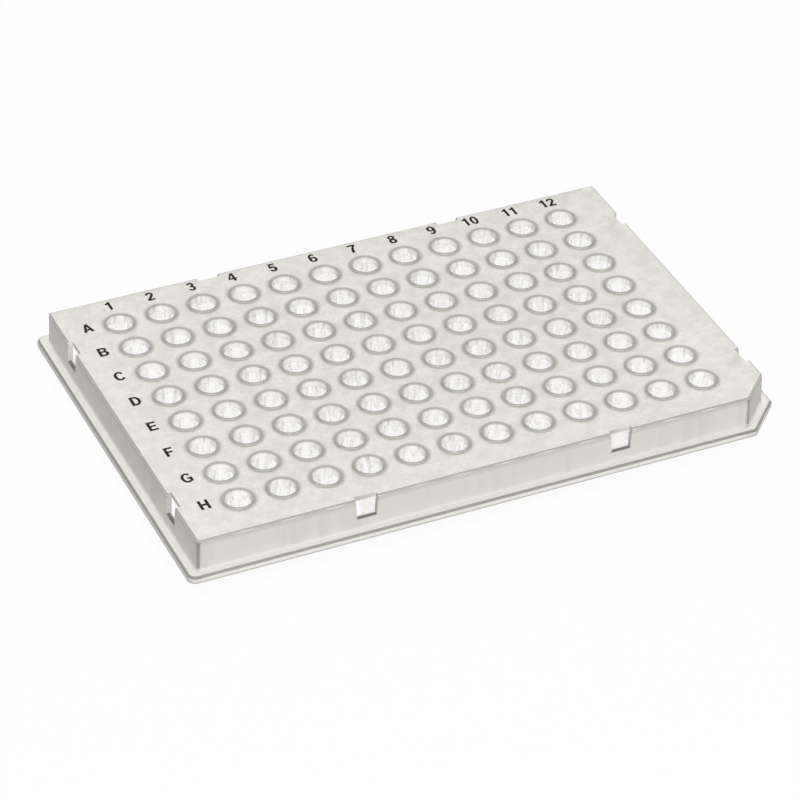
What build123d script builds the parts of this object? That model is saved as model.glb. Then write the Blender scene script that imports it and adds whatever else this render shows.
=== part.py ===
"""Half-skirted 96-well plate, moulded in one piece of natural polypropylene.

A thin deck carries a grid of tapered tubes that stand on their rounded tips. A raised rim
runs round each mouth. A half-height skirt hangs from the deck's edge and ends in a flat
flange of the standard microplate footprint. Eight slots open the top of the skirt, and one
corner is cut off so that the plate goes into its block one way round only.

Frame: millimetres, +Z up. The origin is at the middle of the footprint, level with the tube
tips. +X runs along the column numbers (1 to 12), and row A is on the +Y side.
"""
from build123d import *
import os
from math import acos, atan2, cos, degrees, hypot, pi, sin, sqrt, tan

# Well grid
columns = 12
rows = 8
pitch = 9.0
edge_to_first_column = 14.38
edge_to_first_row = 11.24

# Tubes, from the tip's underside to the rim's top
overall_height = 15.5
mouth_diameter = 5.5
tip_inner_radius = 0.5
tube_wall = 0.4
rim_width = 0.55
rim_rise = 0.25
rim_round = 0.2
mouth_round = 0.15

# Deck, skirt and flange; the skirt's height runs from the deck's top to the flange's underside
deck_thickness = 1.0
deck_edge_round = 0.35
skirt_height = 8.05
skirt_wall = 1.1
skirt_lean = 0.3
skirt_corner_radius = 0.8
flange_thickness = 1.4
flange_reach_x = 2.1
flange_reach_y = 1.85
flange_corner_radius = 1.8
flange_edge_round = 0.7
skirt_foot_cove = 0.5

# Cut corner beside the last row and the last column, measured along the flange's sides
corner_cut = 7.6
cut_end_radius = 0.5

# Slots in the top of the skirt, two to a side
slot_offset_in_pitches = 3
slot_top_width = 4.7
slot_foot_width = 4.05
slot_depth = 4.4

# Worked out from the sizes above
footprint_length = (columns - 1) * pitch + 2 * edge_to_first_column
footprint_width = (rows - 1) * pitch + 2 * edge_to_first_row
deck_top = overall_height - rim_rise
deck_underside = deck_top - deck_thickness
flange_underside = deck_top - skirt_height
slot_foot = deck_top - slot_depth
slot_offset = slot_offset_in_pitches * pitch
tip_centre = tip_inner_radius + tube_wall
cone_rise = overall_height - tip_centre
mouth_radius = mouth_diameter / 2
rim_radius = mouth_radius + rim_width
half_angle = acos(tip_inner_radius / hypot(mouth_radius, cone_rise)) - atan2(cone_rise, mouth_radius)
past = 1.0  # how far a cutter runs past the face it opens


def outline(inset_x, inset_y, corner_radius, height):
    """The footprint's outline, drawn in by the insets and set at a height, as a face."""
    x = footprint_length / 2 - inset_x
    y = footprint_width / 2 - inset_y
    # the cut keeps its distance from the footprint's own cut as the sides draw in
    cut = corner_cut - (2 - sqrt(2)) * (inset_x + inset_y) / 2
    square_corners = [(x, y), (-x, y), (-x, -y)]
    cut_ends = [(x - cut, -y), (x, -y + cut)]
    face = make_face(Polyline(*square_corners, *cut_ends, close=True))
    for corners, radius in ((square_corners, corner_radius), (cut_ends, cut_end_radius)):
        chosen = [min(face.vertices(), key=lambda v: hypot(v.X - px, v.Y - py))
                  for px, py in corners]
        face = fillet(chosen, radius)
    return Pos(0, 0, height) * face


def skirt_block(wall, top):
    """The space inside the skirt's face, or inside its wall, from the flange's underside to top."""
    foot = outline(flange_reach_x + wall, flange_reach_y + wall,
                   max(skirt_corner_radius - wall, cut_end_radius), flange_underside)
    return extrude(foot, top - flange_underside, taper=degrees(atan2(skirt_lean, skirt_height)))


def skirted_flange():
    """The skirt's block standing on the flange's plate, both still solid inside."""
    block = skirt_block(0, deck_top)
    block = fillet(block.faces().sort_by(Axis.Z)[-1].outer_wire().edges(), deck_edge_round)
    plate = extrude(outline(0, 0, flange_corner_radius, flange_underside), flange_thickness)
    body = block + plate
    body = fillet(flange_top(body).inner_wires()[0].edges(), skirt_foot_cove)
    return fillet(flange_top(body).outer_wire().edges(), flange_edge_round)


def flange_top(body):
    """The face that the flange turns up to the skirt's foot."""
    level = flange_underside + flange_thickness
    return min(body.faces(), key=lambda face: abs(face.center().Z - level) - face.normal_at().Z)


def slot_cutters():
    """One tapered cutter through the skirt for each slot."""
    half_top, half_foot = slot_top_width / 2, slot_foot_width / 2
    slope = (half_top - half_foot) / slot_depth
    profile = [(-half_foot, slot_foot), (half_foot, slot_foot),
               (half_top + slope * past, deck_top + past),
               (-half_top - slope * past, deck_top + past)]
    skirt_x = footprint_length / 2 - flange_reach_x
    skirt_y = footprint_width / 2 - flange_reach_y
    cutters = []
    for turn, face in ((0, skirt_y), (90, skirt_x), (180, skirt_y), (270, skirt_x)):
        depth = skirt_wall + skirt_lean + past
        section = Plane.XZ.offset(-(face + past - depth)) * make_face(Polyline(*profile, close=True))
        for offset in (-slot_offset, slot_offset):
            cutters.append(Rot(0, 0, turn) * Pos(offset, 0, 0) * extrude(section, -depth))
    return cutters


def cone(offset):
    """A well's meridian, moved out by offset: the tip's arc, its end, and the cone's radius by height."""
    radius = tip_inner_radius + offset
    to_middle = (pi / 2 + half_angle) / 2  # half the arc's turn, from straight down
    middle = (radius * sin(to_middle), tip_centre - radius * cos(to_middle))
    tangent = (radius * cos(half_angle), tip_centre - radius * sin(half_angle))
    tip = ThreePointArc((0, tip_centre - radius), middle, tangent)
    mouth = mouth_radius + offset / cos(half_angle)
    return tip, tangent, lambda height: mouth - (overall_height - height) * tan(half_angle)


def turned(tip, upper):
    """The solid that a meridian sweeps round the Z axis, from the tip's edge through the upper edges."""
    top = upper[-1] @ 1
    lid = Polyline((top.X, top.Y), (0, top.Y), tuple(tip @ 0)[:2])
    return revolve(Plane.XZ * make_face([tip, *upper, *lid.edges()]), Axis.Z)


def tube():
    """A tube's outside, up to the middle of the deck."""
    tip, tangent, radius_at = cone(tube_wall)
    top = deck_top - deck_thickness / 2
    return turned(tip, [Line(tangent, (radius_at(top), top))])


def bore():
    """The space inside a well, opening out round the mouth's edge and on past the rim's top."""
    tip, tangent, radius_at = cone(0)
    level = overall_height - mouth_round
    centre = radius_at(level) + mouth_round / cos(half_angle)
    foot = (centre - mouth_round * cos(half_angle), level + mouth_round * sin(half_angle))
    to_middle = (pi / 2 - half_angle) / 2  # half the arc's turn, from straight up
    middle = (centre - mouth_round * sin(to_middle), level + mouth_round * cos(to_middle))
    rim_top = (centre, overall_height)
    lip = ThreePointArc(foot, middle, rim_top)
    return turned(tip, [Line(tangent, foot), lip, Line(rim_top, (centre, overall_height + past))])


def rim():
    """The raised ring round a well's mouth, before the well is cut out of it."""
    foot = deck_top - deck_thickness / 2
    ring = Pos(0, 0, foot) * Cylinder(rim_radius, overall_height - foot,
                                      align=(Align.CENTER, Align.CENTER, Align.MIN))
    return fillet(ring.edges().sort_by(Axis.Z)[-1], rim_round)


def well_plate():
    """The whole moulding, as one solid."""
    wells = GridLocations(pitch, pitch, columns, rows)
    plate = skirted_flange() - [skirt_block(skirt_wall, deck_underside), *slot_cutters()]
    walls = [tube(), rim()]
    space = bore()
    plate = plate + [place * wall for place in wells for wall in walls]
    return plate - [place * space for place in wells]


os.makedirs("parts", exist_ok=True)
export_step(well_plate(), "parts/well_plate.step")
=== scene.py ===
"""Looks of a half-skirted 96-well plate in natural polypropylene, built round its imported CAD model.

Lengths are metres in the part's own frame: +Z up, +X along the column numbers, row A on the +Y side.
The moulding is the CAD node with a procedural plastic. The printed letters and numbers are thin
geometry on the deck. Shader masks and printed shapes are worked out in millimetres.
"""
from collections import namedtuple
from math import cos, radians, sin

import bpy
from mathutils import Matrix, Vector
from mathutils.geometry import tessellate_polygon


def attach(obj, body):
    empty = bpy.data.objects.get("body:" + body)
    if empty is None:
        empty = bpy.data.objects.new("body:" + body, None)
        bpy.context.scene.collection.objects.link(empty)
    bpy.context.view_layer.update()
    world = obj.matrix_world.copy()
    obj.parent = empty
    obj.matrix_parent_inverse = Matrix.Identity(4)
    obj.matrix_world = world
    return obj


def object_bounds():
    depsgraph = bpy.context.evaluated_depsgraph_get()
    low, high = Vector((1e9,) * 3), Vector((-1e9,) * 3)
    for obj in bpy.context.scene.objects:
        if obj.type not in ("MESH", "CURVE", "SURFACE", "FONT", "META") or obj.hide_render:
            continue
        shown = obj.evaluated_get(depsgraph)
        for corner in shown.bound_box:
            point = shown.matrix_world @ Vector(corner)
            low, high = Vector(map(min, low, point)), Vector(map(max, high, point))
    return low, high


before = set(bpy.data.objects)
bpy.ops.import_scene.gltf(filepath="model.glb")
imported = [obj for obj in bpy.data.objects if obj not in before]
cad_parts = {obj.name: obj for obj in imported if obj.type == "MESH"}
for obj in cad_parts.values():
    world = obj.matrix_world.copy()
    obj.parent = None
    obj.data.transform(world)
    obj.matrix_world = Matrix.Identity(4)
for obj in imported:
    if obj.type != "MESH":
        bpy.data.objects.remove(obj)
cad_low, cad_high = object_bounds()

MM = 0.001

# The plate, in millimetres
PITCH = 9.0
COLUMNS = 12
ROWS = 8
RIM_TOP = cad_high.z / MM
RIM_RISE = 0.25
DECK_TOP = RIM_TOP - RIM_RISE
DECK_THICKNESS = 1.0
DECK_UNDERSIDE = DECK_TOP - DECK_THICKNESS
DECK_ROUND = 0.35
MOUTH_RADIUS = 2.75
BORE_TAPER = 0.1537  # radius lost with each millimetre of depth
GRID_HALF_X = COLUMNS / 2 * PITCH
GRID_HALF_Y = ROWS / 2 * PITCH
FOOT_HALF_X = cad_high.x / MM
FOOT_HALF_Y = cad_high.y / MM
SKIRT_HEIGHT = 8.05
SKIRT_WALL = 1.1
SKIRT_LEAN = 0.3
SKIRT_CORNER = 0.8
FLANGE_UNDERSIDE = DECK_TOP - SKIRT_HEIGHT
FLANGE_THICKNESS = 1.4
FLANGE_TOP = FLANGE_UNDERSIDE + FLANGE_THICKNESS
FLANGE_CORNER = 1.8
CORNER_CUT = 7.6
DECK_INSET_X = 2.4  # the flange's reach and the skirt's lean together
DECK_INSET_Y = 2.15
DECK_HALF_X = FOOT_HALF_X - DECK_INSET_X
DECK_HALF_Y = FOOT_HALF_Y - DECK_INSET_Y
CUT_AT_DECK = CORNER_CUT - (2 - 2 ** 0.5) * (DECK_INSET_X + DECK_INSET_Y) / 2
SLOT_OFFSET = 3 * PITCH
SLOT_HALF_FOOT = 2.0
SLOT_DEPTH = 4.4
SLOT_FOOT = DECK_TOP - SLOT_DEPTH

# Camera
CAMERA_AZIMUTH = radians(-24.99)
CAMERA_ELEVATION = radians(36.02)
CAMERA_ROLL = radians(1.19)
CAMERA_DISTANCE = 716.7 * MM
CAMERA_TARGET = Vector((-8.5, -14.7, RIM_TOP)) * MM
CAMERA_CLIP = 10 * MM
FOCAL_SHARE = 4.576  # focal length over the picture's width
SENSOR_WIDTH = 36.0

# Plastic: a colour from 0 to 255, how clear it is and how rough
Look = namedtuple("Look", "colour clearness roughness")
DECK = Look((251, 248, 242), 0.4, 0.6)
DECK_DULL = Look((237, 234, 227), 0.4, 0.6)
DECK_GRAIN = Look((224, 221, 214), 0.4, 0.6)
DECK_FILLET = Look((252, 250, 246), 0.6, 0.35)
SKIRT = Look((231, 227, 220), 0.25, 0.5)
SKIRT_DULL = Look((190, 187, 182), 0.2, 0.5)
# Painted shade at the top of the walls beside the thick deck, a little less clear there
SKIRT_TOP_SHADE = Look((215, 211, 205), 0.2, 0.5)
FLANGE = Look((230, 227, 221), 0.85, 0.4)
FLANGE_FACE = Look((251, 249, 244), 0.25, 0.5)
TUBE = Look((255, 255, 255), 0.97, 0.1)
MOUTH = Look((255, 254, 250), 0.05, 0.4)
# Painted streaks that stand in for the neighbouring tubes seen through a bore's wall
PAINTED_TUBE_STREAK = Look((190, 188, 183), 0.3, 0.4)
# A dark look laid on as painted shade round the rims, along the flange, down the skirt's upright corners,
# at the slots' ledges and on the deck's lip
PAINTED_SHADE = Look((105, 103, 99), 0.1, 0.5)
BEHIND = Look((255, 254, 252), 0.98, 0.12)
PLASTIC_IOR = 1.42

# Plastic: the share of a look that is laid on where its mask is full
GRAIN_SHARE = 0.5
SKIRT_STREAK_SHARE = 0.2
BORE_STREAK_SHARE = 0.45
# The shares of painted shade laid on at each of these places
RIM_SHADE = 0.62
FLANGE_EDGE_SHADE = 0.75
FLANGE_FOOT_SHADE = 0.6
UPRIGHT_SHADE = 0.6
LEDGE_SHADE = 0.95
LIP_SHADE = 0.65

# Plastic: where a mask starts and where it is full. First the heights, in millimetres
SOFT = 0.1
BELOW_DECK = (DECK_UNDERSIDE + 0.25, DECK_UNDERSIDE - 0.15)
MOUTH_FOOT = (DECK_UNDERSIDE - 0.2, DECK_UNDERSIDE + 0.2)
RIM_FOOT = (DECK_TOP - SOFT, DECK_TOP)
FILLET_FOOT = (DECK_TOP - DECK_ROUND - SOFT, DECK_TOP - DECK_ROUND)
LIP_FOOT = (DECK_TOP - 0.2, DECK_TOP - 0.1)
UPRIGHT_FOOT = (FLANGE_TOP + 0.2, FLANGE_TOP + 0.6)
UPRIGHT_TOP = (DECK_TOP - 0.1, DECK_TOP - 0.4)
BELOW_SKIRT = (FLANGE_TOP + 0.3, FLANGE_TOP + 0.1)
FLANGE_FACE_TOP = (FLANGE_TOP - 0.1, FLANGE_TOP - 0.2)
FLANGE_FOOT_TOP = (FLANGE_UNDERSIDE + 0.3, FLANGE_UNDERSIDE + 0.15)

# Distances inside the deck's outline, then inside the flange's
AT_WALL = (0.3, 0.2)
FILLET_WIDTH = (DECK_ROUND + 0.15, DECK_ROUND)
LIP_WIDTH = (0.45, 0.25)
LEDGE_WIDTH = (0.65, 0.55)
FLANGE_FACE_WIDTH = (0.06, 0.03)
FLANGE_FOOT_WIDTH = (0.15, 0.05)

# Distances from a well's middle, from the wall of its bore and from the skirt's upright edges
MOUTH_REACH = (MOUTH_RADIUS + SOFT, MOUTH_RADIUS)
TUBE_REACH = (3.3, 3.1)
RIM_INSIDE = (2.6, 2.8)
RIM_OUTSIDE = (4.15, 2.95)
PAST_BORE = (0.25, 0.15)
UPRIGHT_WIDTH = (0.6, 0.45)
CUT_UPRIGHT_WIDTH = (0.3, 0.2)

# Levels of noise, from 0 to 1
MOTTLE_LEVELS = (0.3, 0.7)
GRAIN_LEVELS = (0.45, 0.7)
STREAK_LEVELS = (0.5, 0.75)

# Plastic: bands, each with its low end, its high end and how softly it fades past them
WALL_TOP_BAND = (DECK_UNDERSIDE - 0.1, DECK_TOP - DECK_ROUND, 0.2)
FLANGE_EDGE_BAND = (FLANGE_TOP - 0.4, FLANGE_TOP, SOFT)
FLANGE_EDGE_WIDTH = (0.1, 0.45, SOFT)
LEDGE_BAND = (SLOT_FOOT - 0.08, SLOT_FOOT + 0.05, 0.04)

# Plastic: the scale of a noise for each millimetre, how detailed it is, and how wide a streak is
MOTTLE_SCALE = 0.35
GRAIN_SCALE = 1.6
DECK_DETAIL = 3.0
SKIRT_STREAK_WIDTH = 3.0
BORE_STREAK_WIDTH = 0.7
STREAK_SCALE_UP = 0.03
STREAK_DETAIL = 1.0

# Printing
INK_DARK = (14, 14, 14)
INK_LIGHT = (26, 25, 24)
INK_ROUGHNESS = 0.6
INK_GLOSS = 0.2
INK_SCALE = 3.0
INK_DETAIL = 2.0
INK_HEIGHT = 0.02
INK_SUNK = 0.01
LETTER_X = -56.1
LETTER_RAISE = 0.95
NUMBER_Y = 38.1
CHARACTER_HEIGHT = 2.85
CHARACTER_GAP = 0.2  # as a share of the height
ARC_STEP = 15  # degrees

# Stage
FLOOR_SIZE = 6.0
FLOOR_COLOUR = (250, 250, 250)
FLOOR_BOUNCE = (150, 150, 150)
FLOOR_ROUGHNESS = 0.9
FLOOR_WHITENESS = 0.93
WORLD_LEVEL = 0.4
KEY_POWER = 12.1
KEY_SIZE = 0.7
KEY_PLACE = Vector((-0.25, -0.75, 1.0))


# ---------------------------------------------------------------- shader helpers

class Shader:
    """A node tree, written as expressions. A method that works something out returns its socket."""

    def __init__(self, owner):
        owner.use_nodes = True
        self.tree = owner.node_tree

    def node(self, kind, **settings):
        made = self.tree.nodes.new("ShaderNode" + kind)
        for name, value in settings.items():
            setattr(made, name, value)
        return made

    def feed(self, socket, value):
        if isinstance(value, bpy.types.NodeSocket):
            self.tree.links.new(value, socket)
        else:
            socket.default_value = value

    def math(self, operation, *values):
        made = self.node("Math", operation=operation)
        for socket, value in zip(made.inputs, values):
            self.feed(socket, value)
        return made.outputs[0]

    def fade(self, value, start, full):
        """0 up to start and 1 from full, smooth between them. start may be above full."""
        made = self.node("MapRange", interpolation_type="SMOOTHSTEP")
        self.feed(made.inputs["Value"], value)
        made.inputs["From Min"].default_value = min(start, full)
        made.inputs["From Max"].default_value = max(start, full)
        made.inputs["To Min"].default_value = 0.0 if full > start else 1.0
        made.inputs["To Max"].default_value = 1.0 if full > start else 0.0
        return made.outputs["Result"]

    def band(self, value, low, high, soft):
        """1 between low and high, fading to 0 over soft outside them."""
        return self.every(self.fade(value, low - soft, low), self.fade(value, high + soft, high))

    def every(self, *masks):
        """The product of the masks."""
        product = masks[0]
        for mask in masks[1:]:
            product = self.math("MULTIPLY", product, mask)
        return product

    def mix(self, factor, first, second):
        """first where factor is 0 and second where it is 1, for colours."""
        made = self.node("Mix", data_type="RGBA")
        for name, value in (("Factor_Float", factor), ("A_Color", first), ("B_Color", second)):
            self.feed(next(i for i in made.inputs if i.identifier == name), value)
        return next(o for o in made.outputs if o.identifier == "Result_Color")

    def blend(self, factor, first, second):
        """The same for numbers."""
        change = self.math("SUBTRACT", second, first)
        return self.math("ADD", first, self.math("MULTIPLY", factor, change))

    def squares(self, first, second):
        """The sum of two squares."""
        return self.math("ADD", self.math("MULTIPLY", first, first), self.math("MULTIPLY", second, second))

    def position(self):
        """The point in millimetres, then its x, y and z."""
        scaled = self.node("VectorMath", operation="SCALE")
        self.feed(scaled.inputs[0], self.node("TexCoord").outputs["Object"])
        scaled.inputs["Scale"].default_value = 1 / MM
        split = self.node("SeparateXYZ")
        self.feed(split.inputs[0], scaled.outputs[0])
        return scaled.outputs[0], *split.outputs

    def noise(self, vector, scale, detail):
        made = self.node("TexNoise")
        self.feed(made.inputs["Vector"], vector)
        made.inputs["Scale"].default_value = scale
        made.inputs["Detail"].default_value = detail
        return made.outputs["Fac"]

    def rays(self, *kinds):
        """1 for rays of any of these kinds."""
        paths = self.node("LightPath").outputs
        found = paths[kinds[0]]
        for kind in kinds[1:]:
            found = self.math("MAXIMUM", found, paths[kind])
        return found

    def seen(self):
        """1 where a surface is seen, straight or in or through another one, and not for light it sheds."""
        return self.rays("Is Camera Ray", "Is Glossy Ray", "Is Transmission Ray")


class Surface(Shader):
    """A material round one Principled shader."""

    def __init__(self, name):
        self.material = bpy.data.materials.new(name)
        super().__init__(self.material)
        self.principled = self.tree.nodes["Principled BSDF"]

    def set(self, values):
        """Sets inputs of the Principled shader by their names."""
        for name, value in values.items():
            self.feed(self.principled.inputs[name], value)


def linear(red, green, blue):
    """A display colour from 0 to 255 as the linear colour a shader takes."""
    def one(value):
        value /= 255
        return value / 12.92 if value <= 0.04045 else ((value + 0.055) / 1.055) ** 2.4
    return (one(red), one(green), one(blue), 1.0)


# ---------------------------------------------------------------- plastic

class Plastic(Surface):
    """The moulding's plastic, laid on region by region, the deck first."""

    def __init__(self):
        super().__init__("natural_polypropylene")
        self.colour, self.clearness, self.roughness = linear(*DECK.colour), DECK.clearness, DECK.roughness
        self.point, self.x, self.y, self.z = self.position()
        self.far_x = self.math("ABSOLUTE", self.x)
        self.far_y = self.math("ABSOLUTE", self.y)
        self.radius = self.well_radius()
        self.in_grid = self.every(self.fade(self.far_x, GRID_HALF_X, GRID_HALF_X - SOFT),
                                  self.fade(self.far_y, GRID_HALF_Y, GRID_HALF_Y - SOFT))
        self.deck_depth = self.depth_inside(DECK_HALF_X, DECK_HALF_Y, SKIRT_CORNER, CUT_AT_DECK)
        self.foot_depth = self.depth_inside(FOOT_HALF_X, FOOT_HALF_Y, FLANGE_CORNER, CORNER_CUT)
        self.below_deck = self.fade(self.z, *BELOW_DECK)
        self.at_wall = self.fade(self.deck_depth, *AT_WALL)

    def cover(self, mask, look, share=1.0):
        """Lays a share of a look over what is there, by the mask."""
        if share < 1:
            mask = self.math("MULTIPLY", mask, share)
        self.colour = self.mix(mask, self.colour, linear(*look.colour))
        self.clearness = self.blend(mask, self.clearness, look.clearness)
        self.roughness = self.blend(mask, self.roughness, look.roughness)

    def well_radius(self):
        """The distance from the middle of the nearest well, for even numbers of rows and columns."""
        across = self.math("SUBTRACT", self.math("WRAP", self.x, PITCH, 0.0), PITCH / 2)
        along = self.math("SUBTRACT", self.math("WRAP", self.y, PITCH, 0.0), PITCH / 2)
        return self.math("SQRT", self.squares(across, along))

    def past_bore(self):
        """How far the point is outside the inside wall of its tapered tube."""
        below = self.math("SUBTRACT", RIM_TOP, self.z)
        bore = self.math("SUBTRACT", MOUTH_RADIUS, self.math("MULTIPLY", below, BORE_TAPER))
        return self.math("SUBTRACT", self.radius, bore)

    def depth_inside(self, half_x, half_y, radius, cut):
        """How far the point is inside a rounded outline with its right front corner cut off."""
        from_x = self.math("SUBTRACT", self.far_x, half_x - radius)
        from_y = self.math("SUBTRACT", self.far_y, half_y - radius)
        past = self.squares(self.math("MAXIMUM", from_x, 0.0), self.math("MAXIMUM", from_y, 0.0))
        short = self.math("MINIMUM", self.math("MAXIMUM", from_x, from_y), 0.0)
        inside = self.math("SUBTRACT", radius, self.math("ADD", self.math("SQRT", past), short))
        return self.math("MINIMUM", inside, self.depth_behind_cut(half_x, half_y, cut))

    def depth_behind_cut(self, half_x, half_y, cut):
        """How far the point is behind the face of the cut corner."""
        along = self.math("SUBTRACT", half_x + half_y - cut, self.math("SUBTRACT", self.x, self.y))
        return self.math("MULTIPLY", along, 0.5 ** 0.5)

    def near_slot(self, reach):
        """1 within reach of the middle of a slot, measured along its side of the skirt."""
        sides = ((self.far_x, self.far_y, DECK_HALF_Y), (self.far_y, self.far_x, DECK_HALF_X))
        masks = []
        for along, across, half in sides:
            off = self.math("ABSOLUTE", self.math("SUBTRACT", along, SLOT_OFFSET))
            in_wall = self.fade(across, half - SKIRT_WALL - SOFT, half - SKIRT_WALL)
            masks.append(self.every(self.fade(off, reach + SOFT, reach), in_wall))
        return self.math("MAXIMUM", *masks)

    def at_upright(self):
        """1 along the upright edges of the skirt, which leans outwards."""
        lean = self.math("MULTIPLY", self.math("SUBTRACT", DECK_TOP, self.z), SKIRT_LEAN / SKIRT_HEIGHT)
        side = self.math("SUBTRACT", self.math("ADD", lean, DECK_HALF_X), self.far_x)
        end = self.math("SUBTRACT", self.math("ADD", lean, DECK_HALF_Y), self.far_y)
        cut = self.math("ADD", self.depth_behind_cut(DECK_HALF_X, DECK_HALF_Y, CUT_AT_DECK), lean)
        square = self.fade(self.math("MAXIMUM", side, end), *UPRIGHT_WIDTH)
        to_cut_edge = self.math("MAXIMUM", cut, self.math("MINIMUM", side, end))
        return self.math("MAXIMUM", square, self.fade(to_cut_edge, *CUT_UPRIGHT_WIDTH))

    def streaks(self, width):
        """Faint upright streaks about a width apart, from 0 to 1."""
        scaled = self.node("VectorMath", operation="MULTIPLY")
        self.feed(scaled.inputs[0], self.point)
        scaled.inputs[1].default_value = (1 / width, 1 / width, STREAK_SCALE_UP)
        return self.fade(self.noise(scaled.outputs[0], 1.0, STREAK_DETAIL), *STREAK_LEVELS)

    def lay_deck(self):
        """Uneven haze, in broad patches and in small grains."""
        self.cover(self.fade(self.noise(self.point, MOTTLE_SCALE, DECK_DETAIL), *MOTTLE_LEVELS), DECK_DULL)
        grain = self.fade(self.noise(self.point, GRAIN_SCALE, DECK_DETAIL), *GRAIN_LEVELS)
        self.cover(grain, DECK_GRAIN, GRAIN_SHARE)

    def lay_skirt(self):
        """Walls with faint streaks, darker just below the deck by painted shade, where the thick deck lets
        less light through.
        """
        self.cover(self.below_deck, SKIRT)
        # Painted shade along the walls' tops, beside the thick deck
        self.cover(self.every(self.at_wall, self.band(self.z, *WALL_TOP_BAND)), SKIRT_TOP_SHADE)
        streaked = self.every(self.streaks(SKIRT_STREAK_WIDTH), self.at_wall, self.below_deck)
        self.cover(streaked, SKIRT_DULL, SKIRT_STREAK_SHARE)

    def lay_flange(self):
        """A clearer flange with a pale, hazy face."""
        self.cover(self.fade(self.z, *BELOW_SKIRT), FLANGE)
        face = self.every(self.fade(self.foot_depth, *FLANGE_FACE_WIDTH),
                          self.fade(self.z, *FLANGE_FACE_TOP))
        self.cover(face, FLANGE_FACE)

    def lay_wells(self):
        """Clear tubes with hazy mouths, painted streaks down their bores for the tubes seen through them,
        and painted shade round the rims.
        """
        self.cover(self.every(self.in_grid, self.fade(self.radius, *TUBE_REACH), self.below_deck), TUBE)
        mouth = self.every(self.in_grid, self.fade(self.radius, *MOUTH_REACH),
                           self.fade(self.z, *MOUTH_FOOT))
        self.cover(mouth, MOUTH)
        # Painted streaks down each bore, standing in for the tubes seen through its wall
        bore = self.every(self.streaks(BORE_STREAK_WIDTH), self.in_grid,
                          self.fade(self.past_bore(), *PAST_BORE))
        self.cover(bore, PAINTED_TUBE_STREAK, BORE_STREAK_SHARE)
        # Painted shade round each rim: a dark ring, fading out over the deck
        rim_shade = self.every(self.in_grid, self.fade(self.radius, *RIM_INSIDE),
                         self.fade(self.radius, *RIM_OUTSIDE), self.fade(self.z, *RIM_FOOT))
        self.cover(rim_shade, PAINTED_SHADE, RIM_SHADE)

    def lay_edges(self):
        """A pale rounding round the deck, and painted shade along the flange's edge and foot and down the
        skirt's upright corners.
        """
        fillet = self.every(self.fade(self.deck_depth, *FILLET_WIDTH), self.fade(self.z, *FILLET_FOOT))
        self.cover(fillet, DECK_FILLET)
        # Painted shade along the flange's top outer edge
        flange_edge_shade = self.every(self.band(self.foot_depth, *FLANGE_EDGE_WIDTH),
                                 self.band(self.z, *FLANGE_EDGE_BAND))
        self.cover(flange_edge_shade, PAINTED_SHADE, FLANGE_EDGE_SHADE)
        # Painted shade along the foot of the flange
        flange_foot_shade = self.every(self.fade(self.foot_depth, *FLANGE_FOOT_WIDTH),
                                 self.fade(self.z, *FLANGE_FOOT_TOP))
        self.cover(flange_foot_shade, PAINTED_SHADE, FLANGE_FOOT_SHADE)
        # Painted shade down the skirt's upright corners
        upright = self.every(self.at_upright(), self.fade(self.z, *UPRIGHT_FOOT),
                             self.fade(self.z, *UPRIGHT_TOP))
        self.cover(upright, PAINTED_SHADE, UPRIGHT_SHADE)

    def clear_behind(self):
        """Takes the haze off a wall that is seen through another one, where haze on haze would go dark."""
        self.cover(self.rays("Is Transmission Ray", "Is Glossy Ray"), BEHIND)

    def lay_painted_shade_lines(self):
        """Painted shade lines that stay dark behind another wall too: along the slots' ledges and the
        deck's outer lip.
        """
        # Painted shade along each slot's ledge
        ledge_shade = self.every(self.near_slot(SLOT_HALF_FOOT), self.band(self.z, *LEDGE_BAND),
                           self.fade(self.deck_depth, *LEDGE_WIDTH))
        self.cover(ledge_shade, PAINTED_SHADE, LEDGE_SHADE)
        # Painted shade along the deck's outer lip
        lip = self.every(self.fade(self.deck_depth, *LIP_WIDTH), self.fade(self.z, *LIP_FOOT))
        self.cover(lip, PAINTED_SHADE, LIP_SHADE)


def natural_polypropylene():
    """Plastic as it leaves the mould: frosted where thick and clear in the thin tubes, with painted shade
    along its edges, round the rims and at the tops of the walls, and painted streaks down the bores.
    """
    moulding = Plastic()
    moulding.lay_deck()
    moulding.lay_skirt()
    moulding.lay_flange()
    moulding.lay_wells()
    moulding.lay_edges()
    moulding.clear_behind()
    moulding.lay_painted_shade_lines()
    moulding.set({"Base Color": moulding.colour, "Transmission Weight": moulding.clearness,
                  "Roughness": moulding.roughness, "IOR": PLASTIC_IOR})
    return moulding.material


# ---------------------------------------------------------------- printing

def printing_ink():
    ink = Surface("printing_ink")
    point, *_ = ink.position()
    patches = ink.noise(point, INK_SCALE, INK_DETAIL)
    ink.set({"Base Color": ink.mix(patches, linear(*INK_DARK), linear(*INK_LIGHT)),
             "Roughness": INK_ROUGHNESS, "Specular IOR Level": INK_GLOSS})
    return ink.material


def arc(x, y, across, along, start, end):
    """Points of an ellipse's arc from start to end degrees."""
    count = max(3, round(abs(end - start) / ARC_STEP))
    angles = [radians(start + (end - start) * step / count) for step in range(count + 1)]
    return [(x + across * cos(angle), y + along * sin(angle)) for angle in angles]


def ring(x, y, across, along):
    """A whole ellipse, without its first point again at the end."""
    return arc(x, y, across, along, 0, 360 - ARC_STEP)


def turned_over(loops, width):
    return [[(width - x, 1 - y) for x, y in loop] for loop in loops]


SIX = [arc(0.31, 0.52, 0.31, 0.5, 40, 180) + arc(0.31, 0.33, 0.31, 0.34, 180, 430)
       + [(0.22, 0.61)] + arc(0.33, 0.6, 0.12, 0.24, 165, 50),
       ring(0.31, 0.32, 0.105, 0.17)]
SIX_WIDTH = 0.62

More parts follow.
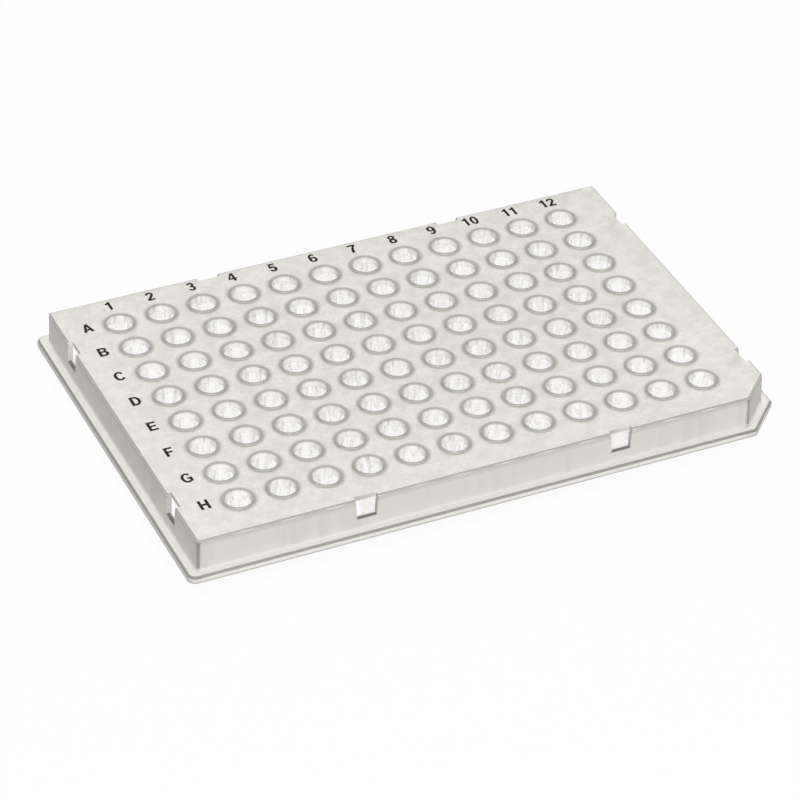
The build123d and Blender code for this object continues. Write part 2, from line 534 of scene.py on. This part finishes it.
# Characters of a bold plain face, one unit high. The first loop is the outside and the others are holes.
CHARACTERS = {
    "A": [[(0, 0), (0.28, 1), (0.49, 1), (0.77, 0), (0.55, 0), (0.5, 0.2), (0.27, 0.2), (0.22, 0)],
          [(0.32, 0.37), (0.45, 0.37), (0.385, 0.72)]],
    "B": [[(0, 0)] + arc(0.42, 0.285, 0.29, 0.285, -90, 62)
          + arc(0.4, 0.755, 0.265, 0.245, -45, 90) + [(0, 1)],
          [(0.21, 0.17)] + arc(0.4, 0.3, 0.1, 0.13, -90, 90) + [(0.21, 0.43)],
          [(0.21, 0.6)] + arc(0.38, 0.715, 0.085, 0.115, -90, 90) + [(0.21, 0.83)]],
    "C": [arc(0.39, 0.5, 0.39, 0.52, 32, 328) + arc(0.39, 0.5, 0.18, 0.35, 325, 35)],
    "D": [[(0, 0)] + arc(0.34, 0.5, 0.38, 0.5, -90, 90) + [(0, 1)],
          [(0.21, 0.17)] + arc(0.32, 0.5, 0.19, 0.33, -90, 90) + [(0.21, 0.83)]],
    "E": [[(0, 0), (0.65, 0), (0.65, 0.18), (0.21, 0.18), (0.21, 0.42), (0.59, 0.42), (0.59, 0.59),
           (0.21, 0.59), (0.21, 0.82), (0.64, 0.82), (0.64, 1), (0, 1)]],
    "F": [[(0, 0), (0.21, 0), (0.21, 0.41), (0.55, 0.41), (0.55, 0.58), (0.21, 0.58), (0.21, 0.82),
           (0.62, 0.82), (0.62, 1), (0, 1)]],
    "G": [arc(0.39, 0.5, 0.39, 0.52, 35, 300)
          + [(0.77, 0.1), (0.77, 0.54), (0.42, 0.54), (0.42, 0.37), (0.57, 0.37), (0.57, 0.22)]
          + arc(0.39, 0.5, 0.18, 0.35, 300, 40)],
    "H": [[(0, 0), (0.21, 0), (0.21, 0.41), (0.51, 0.41), (0.51, 0), (0.72, 0), (0.72, 1), (0.51, 1),
           (0.51, 0.6), (0.21, 0.6), (0.21, 1), (0, 1)]],
    "0": [ring(0.3, 0.5, 0.3, 0.52), ring(0.3, 0.5, 0.1, 0.35)],
    "1": [[(0.22, 0), (0.42, 0), (0.42, 1), (0.27, 1), (0.2, 0.88), (0.05, 0.83), (0.05, 0.67),
           (0.22, 0.71)]],
    "2": [arc(0.3, 0.7, 0.28, 0.31, 180, -35) + [(0.28, 0.18), (0.58, 0.18), (0.58, 0), (0, 0), (0, 0.13)]
          + arc(0.3, 0.71, 0.09, 0.13, -35, 180)],
    "3": [arc(0.29, 0.74, 0.26, 0.27, 165, -50) + arc(0.3, 0.3, 0.29, 0.31, 50, -165)
          + arc(0.29, 0.3, 0.1, 0.14, -165, 90) + [(0.22, 0.44), (0.22, 0.59)]
          + arc(0.28, 0.72, 0.08, 0.12, -90, 165)],
    "4": [[(0.33, 0), (0.52, 0), (0.52, 0.22), (0.63, 0.22), (0.63, 0.38), (0.52, 0.38), (0.52, 1),
           (0.31, 1), (0, 0.4), (0, 0.22), (0.33, 0.22)], [(0.33, 0.38), (0.33, 0.73), (0.15, 0.38)]],
    "5": [[(0.09, 1), (0.56, 1), (0.56, 0.83), (0.24, 0.83), (0.22, 0.64)]
          + arc(0.3, 0.33, 0.3, 0.34, 85, -165) + arc(0.29, 0.33, 0.1, 0.17, -160, 140) + [(0.03, 0.46)]],
    "6": SIX,
    "7": [[(0, 0.82), (0, 1), (0.59, 1), (0.59, 0.84), (0.43, 0.6), (0.35, 0.3), (0.33, 0), (0.11, 0),
           (0.14, 0.3), (0.24, 0.6), (0.38, 0.82)]],
    "8": [arc(0.31, 0.285, 0.305, 0.3, 130, 410) + arc(0.31, 0.755, 0.27, 0.255, -40, 220),
          ring(0.31, 0.285, 0.1, 0.135), ring(0.31, 0.745, 0.085, 0.11)],
    "9": turned_over(SIX, SIX_WIDTH),
}


def placed_characters(text, middle_x, middle_y):
    """The loops of each character of a text, set side by side round the middle, in millimetres."""
    widths = [max(x for x, y in CHARACTERS[letter][0]) for letter in text]
    start = -(sum(widths) + CHARACTER_GAP * (len(text) - 1)) / 2
    placed = []
    for letter, width in zip(text, widths):
        placed.append([[Vector((middle_x + (start + x) * CHARACTER_HEIGHT,
                                middle_y + (y - 0.5) * CHARACTER_HEIGHT, 0)) for x, y in loop]
                       for loop in CHARACTERS[letter]])
        start += width + CHARACTER_GAP
    return placed


def add_print(name, words, ink):
    """Thin closed characters on the deck. words holds each text with the middle of its place."""
    vertices, faces = [], []
    characters = [loops for word in words for loops in placed_characters(*word)]
    for loops in characters:
        flat = [point for loop in loops for point in loop]
        first, count = len(vertices), len(flat)
        for z in (DECK_TOP - INK_SUNK, DECK_TOP + INK_HEIGHT):
            vertices += [(point.x * MM, point.y * MM, z * MM) for point in flat]
        for a, b, c in tessellate_polygon(loops):
            faces.append((first + a, first + b, first + c))
            faces.append((first + count + c, first + count + b, first + count + a))
        for loop in loops:
            for step in range(len(loop)):
                here, there = first + step, first + (step + 1) % len(loop)
                faces.append((here, there, there + count, here + count))
            first += len(loop)
    mesh = bpy.data.meshes.new(name)
    mesh.from_pydata(vertices, [], faces)
    mesh.update()
    mesh.materials.append(ink)
    made = bpy.data.objects.new(name, mesh)
    bpy.context.scene.collection.objects.link(made)
    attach(made, "root")


def add_characters():
    """Row letters left of the first column and column numbers behind the first row."""
    ink = printing_ink()
    letters = [(letter, LETTER_X, ((ROWS - 1) / 2 - row) * PITCH + LETTER_RAISE)
               for row, letter in enumerate("ABCDEFGH")]
    numbers = [(str(column + 1), (column - (COLUMNS - 1) / 2) * PITCH, NUMBER_Y)
               for column in range(COLUMNS)]
    add_print("row_letters", letters, ink)
    add_print("column_numbers", numbers, ink)


# ---------------------------------------------------------------- stage

def floor_material():
    """White, and mostly shown as plain white, so that only a faint shadow is left on it."""
    white = Surface("floor_white")
    seen = white.seen()
    white.set({"Base Color": white.mix(seen, linear(*FLOOR_BOUNCE), linear(*FLOOR_COLOUR)),
               "Roughness": FLOOR_ROUGHNESS})
    shown = white.node("MixShader")
    white.feed(shown.inputs["Fac"], white.math("MULTIPLY", seen, FLOOR_WHITENESS))
    white.feed(shown.inputs[1], white.principled.outputs["BSDF"])
    white.feed(shown.inputs[2], white.node("Emission").outputs["Emission"])
    white.feed(white.tree.nodes["Material Output"].inputs["Surface"], shown.outputs["Shader"])
    return white.material


def add_floor():
    bpy.ops.mesh.primitive_plane_add(size=FLOOR_SIZE, location=(0, 0, 0))
    floor = bpy.context.object
    floor.name = "floor"
    floor.data.materials.append(floor_material())


def add_world():
    """White where it is seen, and a softer white where it lights the plate."""
    world = bpy.data.worlds.new("studio")
    bpy.context.scene.world = world
    studio = Shader(world)
    background = studio.tree.nodes["Background"]
    background.inputs["Color"].default_value = (1, 1, 1, 1)
    studio.feed(background.inputs["Strength"], studio.math("MAXIMUM", studio.seen(), WORLD_LEVEL))


def add_key():
    """One soft lamp, above the plate, in front of it and a little to its left, aimed at the origin."""
    data = bpy.data.lights.new("key", "AREA")
    data.shape = "DISK"
    data.size = KEY_SIZE
    data.energy = KEY_POWER
    lamp = bpy.data.objects.new("key", data)
    bpy.context.scene.collection.objects.link(lamp)
    lamp.location = KEY_PLACE
    lamp.rotation_euler = (-KEY_PLACE).to_track_quat("-Z", "Y").to_euler()


def add_camera():
    data = bpy.data.cameras.new("camera")
    data.sensor_width = SENSOR_WIDTH
    data.lens = FOCAL_SHARE * SENSOR_WIDTH
    data.clip_start = CAMERA_CLIP
    camera = bpy.data.objects.new("camera", data)
    bpy.context.scene.collection.objects.link(camera)
    back = Vector((sin(CAMERA_AZIMUTH) * cos(CAMERA_ELEVATION),
                   -cos(CAMERA_AZIMUTH) * cos(CAMERA_ELEVATION), sin(CAMERA_ELEVATION)))
    right = (-back).cross(Vector((0, 0, 1))).normalized()
    up = right.cross(-back)
    rolled = Matrix.Rotation(CAMERA_ROLL, 3, back)
    axes = Matrix((rolled @ right, rolled @ up, back)).transposed()
    camera.matrix_world = Matrix.Translation(CAMERA_TARGET + back * CAMERA_DISTANCE) @ axes.to_4x4()
    bpy.context.scene.camera = camera


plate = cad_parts["well_plate"]
plastic = natural_polypropylene()
plate.data.materials.clear()
plate.data.materials.append(plastic)
add_characters()

add_floor()
add_world()
add_key()
add_camera()
bpy.context.scene.view_settings.view_transform = "Standard"
